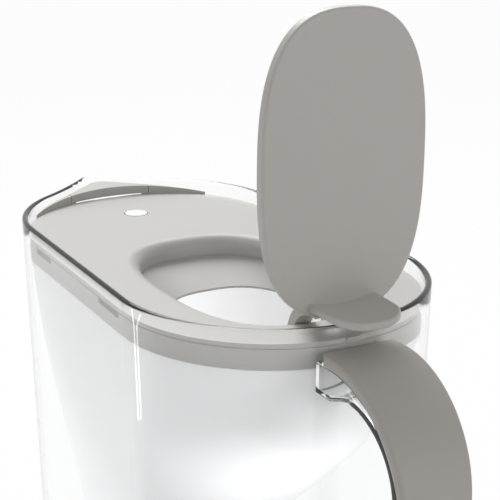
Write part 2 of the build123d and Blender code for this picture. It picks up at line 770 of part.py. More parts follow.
with BuildPart() as lid_cover:
    with BuildSketch(Plane.XY.offset(lid_parting)):
        oval(lid_inset)
    extrude(amount=lid_top - lid_parting)
    add(front_ridge.part)
    # The mouth under the pouring flap is open from the plateau's arc outwards.
    with BuildSketch(Plane.XY.offset(lid_parting)):
        mouth(mouth_half_width, Mode.ADD)
        ridge_step(mouth_gap, mode=Mode.SUBTRACT)
    extrude(amount=lid_parting_drop, mode=Mode.SUBTRACT)
    # Hollow underside inside the skirt and behind the arc's wall.
    with BuildSketch(Plane.XY.offset(lid_parting)):
        oval(lid_inset + lid_skirt)
        ridge_step(lid_skirt, mode=Mode.INTERSECT)
    extrude(amount=plate_bottom - lid_parting, mode=Mode.SUBTRACT)
    with BuildSketch(Plane.XY.offset(lid_parting)):
        oval(lid_inset + lid_skirt)
        with Locations((ridge_end_x, 0)):
            Rectangle(
                body_length + half_length,
                body_length,
                align=(Align.MIN, Align.CENTER),
                mode=Mode.INTERSECT,
            )
    extrude(amount=plate_bottom - lid_parting, mode=Mode.SUBTRACT)
    add(well_ring.part)
    with BuildSketch(Plane.XY.offset(web_top)):
        flap_outline(flap_gap)
    extrude(amount=lid_top_drop + lid_base_drop, mode=Mode.SUBTRACT)
    well_edge = lid_cover.edges().filter_by_position(Axis.Z, lid_top - groove_width, lid_top + groove_width)
    fillet(well_edge.sort_by(SortBy.LENGTH)[-1], radius=well_edge_radius)
    # Slots through the rear of the well's rim for the gooseneck arms: a straight one for their feet
    # and a ring about the hinge for their bends.
    for side in (-1, 1):
        slot_plane = Plane.XZ.offset(-side * (arm_inner_y - arm_slot_gap))
        with BuildSketch(slot_plane):
            with Locations((hinge_x, hinge_level)):
                Circle(arm_radius + arm_thickness / 2 + arm_slot_gap)
                Circle(arm_radius - arm_thickness / 2 - arm_slot_gap, mode=Mode.SUBTRACT)
            with Locations((hinge_x, hinge_level + arm_thickness / 2 + arm_slot_gap)):
                Rectangle(
                    2 * (arm_radius + arm_thickness),
                    2 * (arm_radius + arm_thickness),
                    align=(Align.CENTER, Align.MAX),
                )
        extrude(
            amount=-side * (arm_outer_y - arm_inner_y + 2 * arm_slot_gap), mode=Mode.SUBTRACT
        )
    # Ears that carry the flap's stub pins.
    for side in (-1, 1):
        inner_y = arm_outer_y + ear_gap
        ear_plane = Plane.XZ.offset(-side * inner_y)
        with BuildSketch(ear_plane):
            with Locations((hinge_x, hinge_level)):
                Circle(hinge_pin_radius + ear_wall)
                Rectangle(
                    2 * (hinge_pin_radius + ear_wall),
                    plate_bottom + lid_plate / 2 - hinge_level,
                    align=(Align.CENTER, Align.MIN),
                )
        extrude(amount=-side * ear_thickness)
    with Locations(Location((hinge_x, 0, hinge_level), (90, 0, 0))):
        Cylinder(
            hinge_pin_radius + pin_gap,
            2 * (arm_outer_y + ear_gap + ear_thickness) + jug_wall,
            mode=Mode.SUBTRACT,
        )
    # Hole for the light button.
    with Locations((light_x, 0, lid_top)):
        Cylinder(button_radius + seat_gap, 2 * lid_plate + seat_gap, mode=Mode.SUBTRACT)
    # Vents through the skirt on both flanks, down to the parting line.
    with BuildSketch(Plane.XY.offset(lid_parting)):
        oval(lid_inset - seat_gap)
        oval(lid_inset + lid_skirt + seat_gap, mode=Mode.SUBTRACT)
        with BuildSketch(Plane.XY.offset(lid_parting), mode=Mode.INTERSECT):
            with Locations((front_vent_x, 0)):
                Rectangle(front_vent_length, body_length)
            with Locations((rear_vent_x, 0)):
                Rectangle(rear_vent_length, body_length)
    extrude(amount=vent_height, mode=Mode.SUBTRACT)
    # A fine groove runs round the skirt above the vents.
    with BuildSketch(Plane.XY.offset(drop(groove_drop))):
        oval(lid_inset - seat_gap)
        oval(lid_inset + groove_depth, mode=Mode.SUBTRACT)
        with Locations((ridge_center_x, 0)):
            Rectangle(
                body_length,
                2 * mouth_half_width + 2 * lid_skirt,
                align=(Align.MAX, Align.CENTER),
                mode=Mode.SUBTRACT,
            )
    extrude(amount=groove_width, mode=Mode.SUBTRACT)
    # Bores for the pouring flap's pins in the ends of the ridge.
    with Locations(Location((pour_hinge_x, 0, drop(pour_hinge_drop)), (90, 0, 0))):
        Cylinder(
            pour_pin_radius + pin_gap,
            2 * (pour_flap_half_width + pour_pin_length + seat_gap),
            mode=Mode.SUBTRACT,
        )
lid_cover.part.label = "lid_cover"
export_step(lid_cover.part, "parts/lid_cover.step")

with BuildPart() as lid_base:
    with BuildSketch(Plane.XY.offset(lid_bottom)):
        oval(lid_inset)
    extrude(amount=lid_parting - lid_bottom)
    with BuildSketch(Plane.XY.offset(web_top)):
        oval(lid_inset + lid_skirt)
        with Locations((pour_channel_x + lid_skirt, 0)):
            Rectangle(
                half_length,
                2 * (pour_channel_half_width + lid_skirt),
                align=(Align.MAX, Align.CENTER),
                mode=Mode.SUBTRACT,
            )
    extrude(amount=lid_parting - web_top, mode=Mode.SUBTRACT)
    with BuildSketch(Plane.XY.offset(lid_bottom)):
        with Locations((pour_channel_x, 0)):
            Rectangle(
                half_length,
                2 * pour_channel_half_width,
                align=(Align.MAX, Align.CENTER),
            )
    extrude(amount=lid_parting - lid_bottom, mode=Mode.SUBTRACT)
    # Hole in the web that the light housing hangs through.
    with BuildSketch(Plane.XY.offset(lid_bottom)):
        with Locations((light_x, 0)):
            Circle(housing_radius + seat_gap)
    extrude(amount=web_thickness, mode=Mode.SUBTRACT)
    # Funnel from the flap's seat down to the inner hole.
    with BuildSketch(Plane.XY.offset(web_top)):
        flap_outline(flap_gap + funnel_wall)
    with BuildSketch(Plane.XY.offset(drop(hole_drop) - hole_lip)):
        hole_outline(funnel_wall)
    loft()
    with BuildSketch(Plane.XY.offset(web_top)):
        flap_outline(flap_gap)
    extrude(amount=-funnel_step, mode=Mode.SUBTRACT)
    with BuildSketch(Plane.XY.offset(funnel_top)):
        flap_outline(flap_gap)
    with BuildSketch(Plane.XY.offset(drop(hole_drop))):
        hole_outline(0)
    loft(mode=Mode.SUBTRACT)
    with BuildSketch(Plane.XY.offset(drop(hole_drop))):
        hole_outline(0)
    extrude(amount=-2 * hole_lip, mode=Mode.SUBTRACT)
    # Room for the hinge: the arms swing down through the rear of the web and the funnel.
    with BuildSketch(Plane.XY.offset(web_top)):
        with Locations((hinge_x + hub_radius + ear_wall, 0)):
            Rectangle(
                arm_radius + arm_thickness + hub_radius + ear_wall,
                2 * (arm_outer_y + ear_gap + ear_thickness + ear_gap),
                align=(Align.MAX, Align.CENTER),
            )
    extrude(amount=-2 * arm_radius, both=True, mode=Mode.SUBTRACT)
lid_base.part.label = "lid_base"
export_step(lid_base.part, "parts/lid_base.step")

# ---- Fill flap, drawn standing open on its stop --------------------------------------------------
# "away" points from the hinge along the flap, "face" out of the flap's top face.
open_turn = radians(flap_open_angle)
away = (-cos(open_turn), 0, sin(open_turn))
face = (sin(open_turn), 0, cos(open_turn))
hinge_point = (hinge_x, 0, hinge_level)
plate_plane = Plane(origin=hinge_point, x_dir=away, z_dir=face)
side_plane = Plane(origin=hinge_point, x_dir=away, z_dir=(0, 1, 0))
across_plane = Plane(origin=hinge_point, x_dir=(0, -1, 0), z_dir=away)
scoop_plane = Plane(origin=hinge_point, x_dir=(0, 1, 0), z_dir=face)
flap_center_away = hinge_x - flap_center_x
flap_bottom_above_hinge = flap_top_above_hinge - flap_thickness

with BuildPart() as thumb_tab:
    with BuildSketch(across_plane):
        with BuildLine():
            FilletPolyline(
                (-tab_half_width, flap_top_above_hinge - flap_skin / 2),
                (-tab_tip_half_width, tab_reach),
                (tab_tip_half_width, tab_reach),
                (tab_half_width, flap_top_above_hinge - flap_skin / 2),
                radius=tab_corner_radius,
            )
            Line(
                (tab_half_width, flap_top_above_hinge - flap_skin / 2),
                (-tab_half_width, flap_top_above_hinge - flap_skin / 2),
            )
        make_face()
    extrude(amount=tab_height + 2 * tab_thickness)
    # The tab is a trough: the space between two cylinders that lie along it.
    with BuildSketch(scoop_plane):
        with Locations((0, tab_height + tab_scoop_radius)):
            Circle(tab_scoop_radius + tab_thickness)
            Circle(tab_scoop_radius, mode=Mode.SUBTRACT)
    extrude(amount=tab_reach + tab_thickness, mode=Mode.INTERSECT)
    tab_root = thumb_tab.faces().sort_by(Axis.X)[0]
    tab_edges = thumb_tab.edges().filter_by(lambda edge: edge not in tab_root.edges())
    fillet(tab_edges, radius=tab_edge_radius)

with BuildPart() as fill_flap:
    with BuildSketch(plate_plane.offset(flap_bottom_above_hinge)):
        superellipse(flap_center_away, flap_half_length, flap_half_width)
    extrude(amount=flap_thickness)
    fillet(fill_flap.edges(), radius=flap_edge_radius)
    with BuildSketch(plate_plane.offset(flap_bottom_above_hinge)):
        superellipse(flap_center_away, flap_half_length - flap_wall, flap_half_width - flap_wall)
    extrude(amount=flap_thickness - flap_skin, mode=Mode.SUBTRACT)
    add(thumb_tab.part)
    # Gooseneck arms: a quarter ring from the flap's underside and a foot back to the hub.
    for start in (arm_inner_y, -arm_outer_y):
        with BuildSketch(side_plane.offset(start)):
            Circle(arm_radius + arm_thickness / 2)
            Circle(arm_radius - arm_thickness / 2, mode=Mode.SUBTRACT)
            Rectangle(
                2 * arm_radius,
                2 * arm_radius,
                align=(Align.MIN, Align.MAX),
                mode=Mode.INTERSECT,
            )
            Rectangle(arm_thickness, arm_radius + arm_thickness / 2, align=(Align.CENTER, Align.MAX))
            with Locations((arm_radius, 0)):
                Rectangle(
                    arm_thickness,
                    flap_top_above_hinge - flap_skin / 2,
                    align=(Align.CENTER, Align.MIN),
                )
            Circle(hub_radius)
        extrude(amount=arm_outer_y - arm_inner_y)
    for side in (-1, 1):
        with BuildSketch(side_plane.offset(side * arm_outer_y)):
            Circle(hinge_pin_radius)
        extrude(amount=side * hinge_pin_length)
fill_flap.part.label = "fill_flap"
export_step(fill_flap.part, "parts/fill_flap.step")

# ---- Pouring flap: the front of the ridge, hinged at its ends -------------------------------------
pour_flap_bottom = lid_top + seat_gap
with BuildPart() as pour_flap:
    add(front_ridge.part)
    with BuildSketch(Plane.XY.offset(pour_flap_bottom)):
        mouth(pour_flap_half_width, Mode.ADD)
    extrude(amount=lid_top_drop, mode=Mode.INTERSECT)
    with BuildSketch(Plane.XY.offset(pour_flap_bottom)):
        lid_plan(pour_flap_thickness)
        ridge_step(-pour_flap_thickness, mode=Mode.SUBTRACT)
        mouth(pour_flap_half_width - pour_flap_thickness, Mode.INTERSECT)
    extrude(
        amount=drop(ridge_top_drop) - pour_flap_thickness - pour_flap_bottom,
        mode=Mode.SUBTRACT,
    )
    # Lugs and stub pins at both ends.
    for side in (-1, 1):
        with BuildSketch(Plane.XZ.offset(-side * (pour_flap_half_width - pour_flap_thickness))):
            with Locations((pour_hinge_x, drop(pour_hinge_drop))):
                Circle(pour_lug_radius)
        extrude(amount=-side * pour_flap_thickness)
        with BuildSketch(Plane.XZ.offset(-side * pour_flap_half_width)):
            with Locations((pour_hinge_x, drop(pour_hinge_drop))):
                Circle(pour_pin_radius)
        extrude(amount=-side * pour_pin_length)
pour_flap.part.label = "pour_flap"
export_step(pour_flap.part, "parts/pour_flap.step")

# ---- Light module ------------------------------------------------------------------------------
button_shoulder = plate_bottom - seat_gap
button_foot = button_shoulder - button_flange_thickness
housing_bottom = plate_bottom - housing_depth
board_top = plate_bottom - board_below_plate
board_bottom = board_top - board_thickness
dome_top = button_foot - button_travel - seat_gap
cell_top = board_bottom - contact_thickness
cell_bottom = cell_top - cell_thickness
cover_top = cell_bottom - seat_gap

with BuildPart() as light_button:
    add(disc(light_x, button_radius, button_shoulder, lid_top + button_proud).part)
    add(disc(light_x, button_flange_radius, button_foot, button_shoulder).part)
    fillet(light_button.edges().group_by(Axis.Z)[-1], radius=button_proud)
light_button.part.label = "light_button"
export_step(light_button.part, "parts/light_button.step")

with BuildPart() as light_housing:
    add(disc(light_x, housing_radius, housing_bottom, plate_bottom).part)
    add(
        disc(
            light_x, housing_radius - housing_wall, housing_bottom, plate_bottom - housing_top
        ).part,
        mode=Mode.SUBTRACT,
    )
    add(
        disc(
            light_x, button_flange_radius + flap_gap, housing_bottom, plate_bottom
        ).part,
        mode=Mode.SUBTRACT,
    )
light_housing.part.label = "light_housing"
export_step(light_housing.part, "parts/light_housing.step")

with BuildPart() as circuit_board:
    add(disc(light_x, board_radius, board_bottom, board_top).part)
circuit_board.part.label = "circuit_board"
export_step(circuit_board.part, "parts/circuit_board.step")

with BuildPart() as button_dome:
    with BuildSketch(Plane.XZ):
        with Locations((light_x, 0)):
            Polygon(
                (dome_radius - dome_wall, board_top),
                (dome_radius, board_top),
                (dome_radius - dome_wall, dome_top),
                (0, dome_top),
                (0, dome_top - dome_wall),
                (dome_radius - 2 * dome_wall, dome_top - dome_wall),
                align=None,
            )
    revolve(axis=Axis((light_x, 0, 0), (0, 0, 1)))
button_dome.part.label = "button_dome"
export_step(button_dome.part, "parts/button_dome.step")

with BuildPart() as led:
    add(disc(light_x, led_radius, board_top, board_top + led_height).part)
led.part.label = "led"
export_step(led.part, "parts/led.step")

with BuildPart() as battery_contact:
    add(disc(light_x, cell_radius - housing_wall, cell_top, board_bottom).part)
battery_contact.part.label = "battery_contact"
export_step(battery_contact.part, "parts/battery_contact.step")

with BuildPart() as coin_cell:
    add(disc(light_x, cell_radius, cell_bottom, cell_top).part)
    fillet(coin_cell.edges().group_by(Axis.Z)[0], radius=cell_edge_radius)
coin_cell.part.label = "coin_cell"
export_step(coin_cell.part, "parts/coin_cell.step")

with BuildPart() as battery_cover:
    add(
        disc(
            light_x, housing_radius - housing_wall - grip_gap, housing_bottom, cover_top
        ).part
    )
    with BuildSketch(Plane.XY.offset(housing_bottom)):
        with Locations((light_x, 0)):
            SlotOverall(coin_slot_length, coin_slot_width)
    extrude(amount=(cover_top - housing_bottom) / 2, mode=Mode.SUBTRACT)
battery_cover.part.label = "battery_cover"
export_step(battery_cover.part, "parts/battery_cover.step")
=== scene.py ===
import json
import math

import bmesh
import bpy
import numpy as np
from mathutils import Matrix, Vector


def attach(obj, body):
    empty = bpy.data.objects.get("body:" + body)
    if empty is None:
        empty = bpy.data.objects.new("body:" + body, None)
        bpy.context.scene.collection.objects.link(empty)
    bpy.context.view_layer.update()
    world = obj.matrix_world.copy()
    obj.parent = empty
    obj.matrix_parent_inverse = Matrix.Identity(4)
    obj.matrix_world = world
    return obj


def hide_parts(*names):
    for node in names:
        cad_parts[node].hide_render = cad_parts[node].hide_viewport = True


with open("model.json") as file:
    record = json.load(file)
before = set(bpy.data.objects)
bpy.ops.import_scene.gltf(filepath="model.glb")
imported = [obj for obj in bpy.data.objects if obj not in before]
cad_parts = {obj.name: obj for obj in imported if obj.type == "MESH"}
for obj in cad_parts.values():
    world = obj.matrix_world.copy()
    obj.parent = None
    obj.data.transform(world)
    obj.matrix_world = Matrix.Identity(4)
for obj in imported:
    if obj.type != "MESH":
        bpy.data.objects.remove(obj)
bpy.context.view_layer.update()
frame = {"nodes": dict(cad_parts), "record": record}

# Camera, where the photograph was taken from: place in metres, angles in degrees, lens and film in mm.
cameraPlace = {
    "spot": (0.4405, -0.2281, 0.4056), "azimuth": 60.93, "elevation": 17.26, "lens": 101.55, "film": 36.0,
    "nearest": 0.01, "farthest": 30.0,
}


def makeCamera():
    azimuth, elevation = math.radians(cameraPlace["azimuth"]), math.radians(cameraPlace["elevation"])
    level = math.cos(elevation)
    look = Vector((-math.sin(azimuth) * level, math.cos(azimuth) * level, -math.sin(elevation)))
    data = bpy.data.cameras.new("camera")
    data.lens, data.sensor_width = cameraPlace["lens"], cameraPlace["film"]
    data.clip_start, data.clip_end = cameraPlace["nearest"], cameraPlace["farthest"]
    camera = bpy.data.objects.new("camera", data)
    camera.location = cameraPlace["spot"]
    camera.rotation_mode = "QUATERNION"
    camera.rotation_quaternion = look.to_track_quat("-Z", "Y")
    bpy.context.scene.collection.objects.link(camera)
    bpy.context.scene.camera = camera


makeCamera()
bpy.context.scene.view_settings.view_transform = "Standard"
print("camera placed")


class Signal:
    # A socket that adds Math nodes when it is used in an expression.
    def __init__(self, tree, socket):
        self.tree, self.socket = tree, socket

    def math(self, operation, first, second):
        node = self.tree.nodes.new("ShaderNodeMath")
        node.operation = operation
        for slot, value in zip(node.inputs, (first, second)):
            plug(self.tree, slot, value)
        return Signal(self.tree, node.outputs[0])

    def __add__(self, other):
        return self.math("ADD", self, other)

    def __radd__(self, other):
        return self.math("ADD", other, self)

    def __sub__(self, other):
        return self.math("SUBTRACT", self, other)

    def __rsub__(self, other):
        return self.math("SUBTRACT", other, self)

    def __mul__(self, other):
        return self.math("MULTIPLY", self, other)

    def __rmul__(self, other):
        return self.math("MULTIPLY", other, self)


def plug(tree, slot, value):
    # A signal is linked to the socket, and a plain value is set on it.
    if isinstance(value, Signal):
        tree.links.new(value.socket, slot)
    else:
        slot.default_value = value


class Finish:
    # The nodes of a new material, or of the world it is given, and one method that adds any other node.
    def __init__(self, name, world=None):
        self.holder = world or bpy.data.materials.new(name)
        self.holder.use_nodes = True
        self.tree = self.holder.node_tree
        self.tree.nodes.clear()

    def node(self, kind, settings=None, inputs=None, out=0):
        made = self.tree.nodes.new("ShaderNode" + kind)
        for key, value in (settings or {}).items():
            if key == "stops":
                ramp = made.color_ramp.elements  # a new ramp has two stops
                for index, (place, color) in enumerate(value):
                    stop = ramp[index] if index < 2 else ramp.new(place)
                    stop.position, stop.color = place, color
            else:
                setattr(made, key, value)
        for key, value in (inputs or {}).items():
            plug(self.tree, made.inputs[key], value)
        return Signal(self.tree, made.outputs[out])

    def blend(self, share, first, second):
        # Two colours mixed: the Mix node's sockets 6 and 7 are its colours, and 0 is the share of the second.
        inputs = {0: share, 6: solid(first), 7: solid(second)}
        return self.node("Mix", {"data_type": "RGBA"}, inputs, out=2)

    def coat(self, shader, kind="Material"):
        output = self.tree.nodes.new("ShaderNodeOutput" + kind)
        self.tree.links.new(shader.socket, output.inputs["Surface"])
        return self.holder


white = (1, 1, 1, 1)


def solid(color):
    return (*color, 1.0)


def scaled(color, factor):
    return [min(1, channel * factor) for channel in color]


def mouldedPlastic(name, color, roughness, coat=0.0):
    # Moulded plastic: a fine spark-eroded grain in the bump, faint clouds in colour and gloss.
    variation, glossSwing = 0.03, 0.04
    make = Finish(name)
    place = make.node("TexCoord", out="Object")
    grain = make.node("TexNoise", {}, {"Vector": place, "Scale": 900.0, "Detail": 3.0}, out="Fac")
    clouds = make.node("TexNoise", {}, {"Vector": place, "Scale": 14.0, "Detail": 2.0}, out="Fac")
    bump = make.node("Bump", {}, {"Strength": 0.35, "Distance": 0.00002, "Height": grain}, out="Normal")
    shade = make.blend(clouds, scaled(color, 1 - variation), scaled(color, 1 + variation))
    gloss = roughness - glossSwing + 2 * glossSwing * clouds
    inputs = {"Base Color": shade, "Roughness": gloss, "Normal": bump, "Coat Weight": coat}
    return make.coat(make.node("BsdfPrincipled", {}, inputs))


def flowWaves(make, strength):
    # The slow waves that a melt leaves in a clear moulding, as a signal and as a bump of the given strength.
    place = make.node("TexCoord", out="Object")
    flow = make.node("TexNoise", {}, {"Vector": place, "Scale": 9.0, "Detail": 1.0}, out="Fac")
    bump = make.node("Bump", {}, {"Strength": strength, "Distance": 0.0006, "Height": flow}, out="Normal")
    return flow, bump


def clearPlastic(name, color, roughness, index):
    # Clear moulding: its faint waves keep the highlights alive and swing the gloss a little.
    make = Finish(name)
    flow, bump = flowWaves(make, 0.015)
    gloss = roughness + 0.02 * flow
    inputs = {"Base Color": solid(color), "Roughness": gloss, "Normal": bump}
    through = {"Transmission Weight": 1.0, "IOR": index}
    return make.coat(make.node("BsdfPrincipled", {}, {**inputs, **through}))


def milkyPlastic(name, color):
    # Thin milky moulding: what it scatters through from behind is near what it sends back. It also has a
    # faint painted glow.
    behindShare = 0.35
    make = Finish(name)
    bump = flowWaves(make, 0.1)[1]
    behind = make.node("BsdfTranslucent", {}, {"Color": solid(color)})
    inputs = {"Base Color": solid(color), "Roughness": 0.35, "Normal": bump}
    glow = {"Emission Color": white, "Emission Strength": 0.1}  # painted glow: the wall emits a little light of its own, in place of light it would pass along inside
    front = make.node("BsdfPrincipled", {}, {**inputs, **glow})
    return make.coat(make.node("MixShader", {}, {0: behindShare, 1: front, 2: behind}))


def granuleBed(name):
    # Packed granules: cells that sink with the distance from their middles, and darken with it as painted
    # shade in the gaps between granules.
    make = Finish(name)
    place = make.node("TexCoord", out="Object")
    cells = make.node("TexVoronoi", {}, {"Vector": place, "Scale": 700.0}, out="Distance")
    # colour from lighter middles to dark edges: painted shade where the granules meet
    stops = [(0.0, (0.16, 0.15, 0.14, 1)), (0.6, (0.05, 0.05, 0.05, 1))]
    paintedGapShade = make.node("ValToRGB", {"stops": stops}, {"Fac": cells}, out="Color")
    bump = make.node("Bump", {}, {"Strength": 0.9, "Distance": 0.0006, "Height": 1 - cells}, out="Normal")
    inputs = {"Base Color": paintedGapShade, "Roughness": 0.7, "Normal": bump}
    return make.coat(make.node("BsdfPrincipled", {}, inputs))


def feltDisc(name, color):
    # Felt: fibre noise in the bump, with the low fibres a fifth darker as painted shade in the hollows
    # between fibres.
    make = Finish(name)
    place = make.node("TexCoord", out="Object")
    fibres = make.node("TexNoise", {}, {"Vector": place, "Scale": 1600.0, "Detail": 4.0}, out="Fac")
    bump = make.node("Bump", {}, {"Strength": 0.7, "Distance": 0.0002, "Height": fibres}, out="Normal")
    # painted shade: the low fibres are a fifth darker
    shade = make.blend(fibres, scaled(color, 0.8), color)
    return make.coat(make.node("BsdfPrincipled", {}, {"Base Color": shade, "Roughness": 0.9, "Normal": bump}))


def sprungMetal(name, color, roughness):
    # Rolled sheet metal whose gloss wanders with fine noise.
    make = Finish(name)
    place = make.node("TexCoord", out="Object")
    brush = make.node("TexNoise", {}, {"Vector": place, "Scale": 400.0, "Detail": 2.0}, out="Fac")
    inputs = {"Base Color": solid(color), "Metallic": 1.0, "Roughness": roughness + 0.1 * brush}
    return make.coat(make.node("BsdfPrincipled", {}, inputs))


finishes = {
    "clear_jug": clearPlastic("clearJug", (0.985, 0.99, 0.99), 0.012, 1.4),
    "grey_grip": mouldedPlastic("greyGrip", (0.5, 0.47, 0.44), 0.5),
    "translucent_hopper": milkyPlastic("milkyHopper", (0.97, 0.97, 0.975)),
    "white_plastic": mouldedPlastic("whitePlastic", (0.86, 0.87, 0.88), 0.4),
    "seal_rubber": mouldedPlastic("sealRubber", (0.72, 0.73, 0.75), 0.6),
    "screen_felt": feltDisc("screenFelt", (0.82, 0.82, 0.80)),
    "granules": granuleBed("granules"),
    "grey_lid": mouldedPlastic("greyLid", (0.46, 0.45, 0.425), 0.45),
    # the flap's grey is the lid's plastic made lighter: painted light on its face, which stands in shade
    "grey_flap": mouldedPlastic("greyFlapLightened", (0.575, 0.555, 0.52), 0.42),
    "module_grey": mouldedPlastic("moduleGrey", (0.45, 0.45, 0.44), 0.5),
    "board_green": mouldedPlastic("boardGreen", (0.05, 0.22, 0.10), 0.3),
    "led_lens": mouldedPlastic("ledLens", (0.9, 0.92, 0.9), 0.2),
    "cell_steel": sprungMetal("cellSteel", (0.7, 0.7, 0.7), 0.25),
    "contact_brass": sprungMetal("contactBrass", (0.75, 0.6, 0.3), 0.25),
    "white_button": mouldedPlastic("whiteButton", (0.93, 0.94, 0.94), 0.25, coat=0.4),
}
print("materials made", len(finishes))

bodyOf = {node: body for body, members in frame["record"]["behaviour"]["bodies"].items() for node in members}
slotOf = {part["node"]: part["material_slot"] for part in frame["record"]["subparts"]}


def ringMesh(name, points):
    # Rings of points (ring, place on it, 3) joined into quads, each ring closed on itself.
    rings, places = points.shape[:2]
    index = np.arange(rings * places).reshape(rings, places)
    index = np.hstack([index, index[:, :1]])
    quads = np.stack([index[:-1, :-1], index[:-1, 1:], index[1:, 1:], index[1:, :-1]], axis=-1).reshape(-1, 4)
    mesh = bpy.data.meshes.new(name)
    mesh.from_pydata(points.reshape(-1, 3).tolist(), [], quads.tolist())
    return mesh


def softenMesh(mesh, mergeWithin, creaseAngle, turnOutwards):
    # Doubles merged, then smooth across each edge whose faces turn by less than the crease angle in degrees.
    work = bmesh.new()
    work.from_mesh(mesh)
    bmesh.ops.remove_doubles(work, verts=work.verts, dist=mergeWithin)
    if turnOutwards:
        bmesh.ops.recalc_face_normals(work, faces=work.faces)
    for face in work.faces:
        face.smooth = True
    limit = math.radians(creaseAngle)
    for edge in work.edges:
        edge.smooth = edge.calc_face_angle(math.pi) < limit
    work.to_mesh(mesh)
    work.free()


def standFor(node, name, mesh):
    # The mesh as a piece in its node's finish, which rides its node's body and stands for the node.
    piece = bpy.data.objects.new(name, mesh)
    bpy.context.scene.collection.objects.link(piece)
    mesh.materials.append(finishes[slotOf[node]])
    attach(piece, bodyOf[node])
    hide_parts(node)
    return piece


def newPiece(node, name, mesh):
    # A piece with a mesh of its own.
    softenMesh(mesh, mergeWithin=0.000001, creaseAngle=40.0, turnOutwards=True)
    return standFor(node, name, mesh)


# Clear jug: its plan is two end circles with a spout nose, drawn in by the draft.
jugShape = {
    "rim": 0.255, "halfLength": 0.0991, "rearRadius": 0.055, "frontRadius": 0.052,
    "draft": math.tan(math.radians(1.35)),  # how far the wall comes in for each metre down
    "wall": 0.0023, "floor": 0.004, "baseEdge": 0.009, "floorEdge": 0.006, "rimEdge": 0.0011,
    "spoutReach": 0.0132, "noseRadius": 0.0093, "flareRadius": 0.16,
    "spoutDepth": 0.052, "spoutSoftness": 0.14,
    "arcSteps": 30, "lineSteps": 12, "noseSteps": 14,  # points round the plan
    "discSteps": 5, "turnSteps": 9, "wallSteps": 44,  # rings of the floor, each rounded edge and the wall
}


def arcRun(centerX, centerY, radius, start, end, steps):
    # Points on a circle: centre plus radius times (cos, sin) of an angle that runs evenly.
    share = np.linspace(0, 1, steps, endpoint=False)
    angle = start[:, None] + (end - start)[:, None] * share
    x = centerX[:, None] + radius[:, None] * np.cos(angle)
    y = centerY[:, None] + radius[:, None] * np.sin(angle)
    return np.stack([x, y], -1)


def jugOutline(inset):
    # Half of the plan for each inset, without and with the nose, point for point. The end circles share two
    # straight tangents, and the nose's small circle meets the front one through a flare that touches both.
    shape = jugShape
    ones = np.ones_like(inset)
    frontX, rearX = shape["frontRadius"] - shape["halfLength"], shape["halfLength"] - shape["rearRadius"]
    tilt = math.acos((shape["frontRadius"] - shape["rearRadius"]) / (rearX - frontX)) * ones
    rearR, frontR = shape["rearRadius"] - inset, shape["frontRadius"] - inset
    rearArc = arcRun(rearX * ones, 0 * ones, rearR, 0 * ones, tilt, shape["arcSteps"])
    rearEnd = np.stack([rearX + rearR * np.cos(tilt), rearR * np.sin(tilt)], -1)
    frontEnd = np.stack([frontX + frontR * np.cos(tilt), frontR * np.sin(tilt)], -1)
    share = np.linspace(0, 1, shape["lineSteps"], endpoint=False)[None, :, None]
    flank = rearEnd[:, None] * (1 - share) + frontEnd[:, None] * share
    tipX = -shape["halfLength"] - shape["spoutReach"] + inset
    noseR, flareR = shape["noseRadius"] - inset, shape["flareRadius"] + inset
    noseX = tipX + noseR
    span, toFront, toNose = frontX - noseX, frontR + flareR, noseR + flareR
    along = (toFront**2 - toNose**2 + span**2) / (2 * span)
    flareX, flareY = frontX - along, np.sqrt(toFront**2 - along**2)
    frontJoint = np.arctan2(flareY, flareX - frontX)
    noseJoint = np.arctan2(flareY, flareX - noseX)
    spouted = np.concatenate([
        arcRun(frontX * ones, 0 * ones, frontR, tilt, frontJoint, shape["arcSteps"]),
        arcRun(flareX, flareY, flareR, frontJoint - math.pi, noseJoint - math.pi, shape["noseSteps"]),
        arcRun(noseX, 0 * ones, noseR, noseJoint, math.pi * ones, shape["noseSteps"]),
        np.stack([tipX, 0 * ones], -1)[:, None],
    ], 1)
    # The plain front arc is cut at the same heights of y, so that the two blend straight across.
    plainY = np.clip(spouted[..., 1], 0, None)
    cut = np.arcsin(np.clip(plainY / frontR[:, None], 0, 1))
    plain = np.stack([frontX - frontR[:, None] * np.cos(cut), plainY], -1)
    plain[:, :shape["arcSteps"]] = spouted[:, :shape["arcSteps"]]
    rear = np.concatenate([rearArc, flank], 1)
    return np.concatenate([rear, plain], 1), np.concatenate([rear, spouted], 1)


def jugRings(inset, level, shrink):
    # Full rings at the given insets and levels, scaled by shrink. The nose's share of the outline is a
    # hyperbola of the height over the spout's foot, 0 at that foot and 1 at the rim.
    shape = jugShape
    plain, spouted = jugOutline(inset + (shape["rim"] - level) * shape["draft"])
    rise = np.clip((level - shape["rim"] + shape["spoutDepth"]) / shape["spoutDepth"], 0, 1)
    soft = shape["spoutSoftness"]
    weight = (np.hypot(rise, soft) - soft) / (math.hypot(1, soft) - soft)
    half = (plain + weight[:, None, None] * (spouted - plain)) * shrink[:, None, None]
    ring = np.concatenate([half, half[:, -2:0:-1] * np.array([1, -1])], 1)
    return np.concatenate([ring, np.broadcast_to(level[:, None, None], (*ring.shape[:2], 1))], -1)


